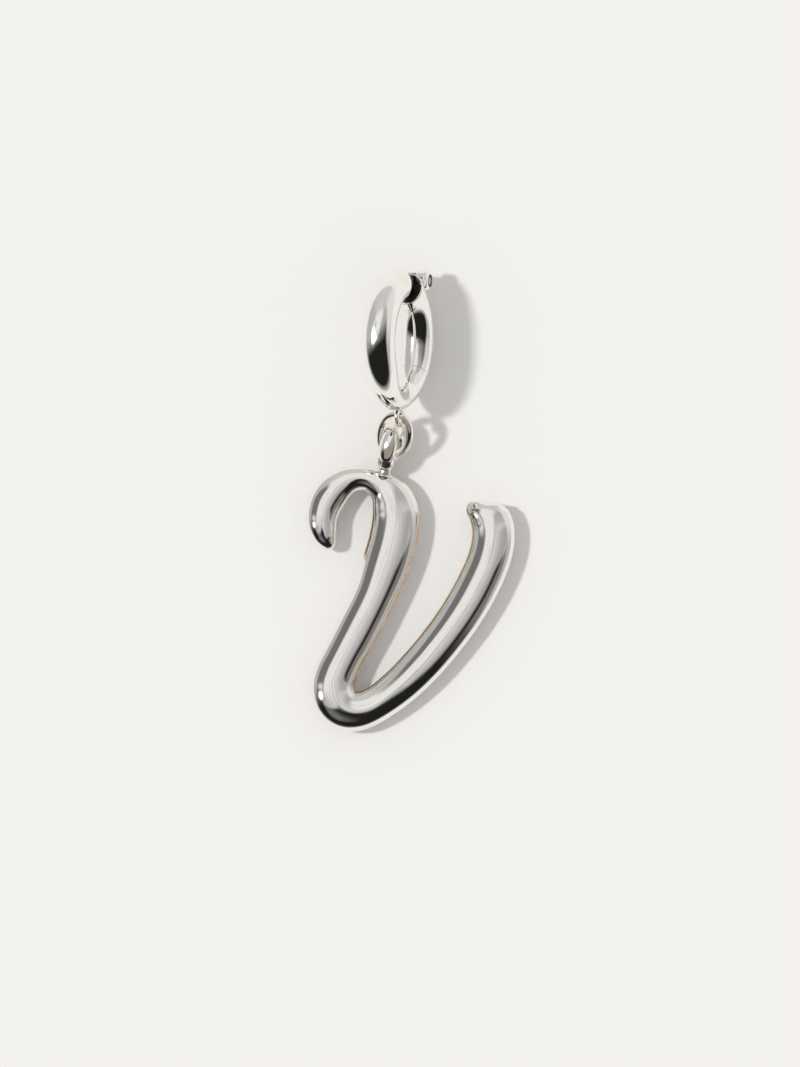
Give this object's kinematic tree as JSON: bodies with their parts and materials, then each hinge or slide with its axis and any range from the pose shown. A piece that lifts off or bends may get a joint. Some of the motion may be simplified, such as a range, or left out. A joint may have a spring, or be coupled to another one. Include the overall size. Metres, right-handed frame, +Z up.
{
  "type": "initial pendant with hoop clasp",
  "caption": "Polished puffed capital letter V with a curled hook, hanging by a soldered loop and an oval jump ring from a round hoop clasp whose gate is hinged.",
  "frame": {"origin": "centre of the whole pendant as it lies, at the height of the surface it lies on", "axes": "+Y from the foot of the letter to the top of the hoop, +X to the letter's right arm, +Z up from the surface to the front of the letter"},
  "size_m": [0.018, 0.0397, 0.0116],
  "materials": {
    "letter_silver": "mirror-polished silver-tone metal",
    "ring_silver": "polished silver-tone wire",
    "clasp_silver": "mirror-polished silver-tone metal",
    "pin_steel": "plain steel hinge pin, its end darkened"
  },
  "bodies": {
    "pendant": {"letter": "letter_silver", "jump_ring": "ring_silver", "clasp_body": "clasp_silver", "hinge_pin": "pin_steel"},
    "gate": {"clasp_gate": "clasp_silver"}
  },
  "joints": [
    {"name": "gate_hinge", "type": "hinge", "parent": "pendant", "child": "gate", "pos_m": [0.00028, 0.01887, 0.00296], "axis": [0.9312, -0.0348, 0.3629], "range_deg": [0, 60]}
  ]
}
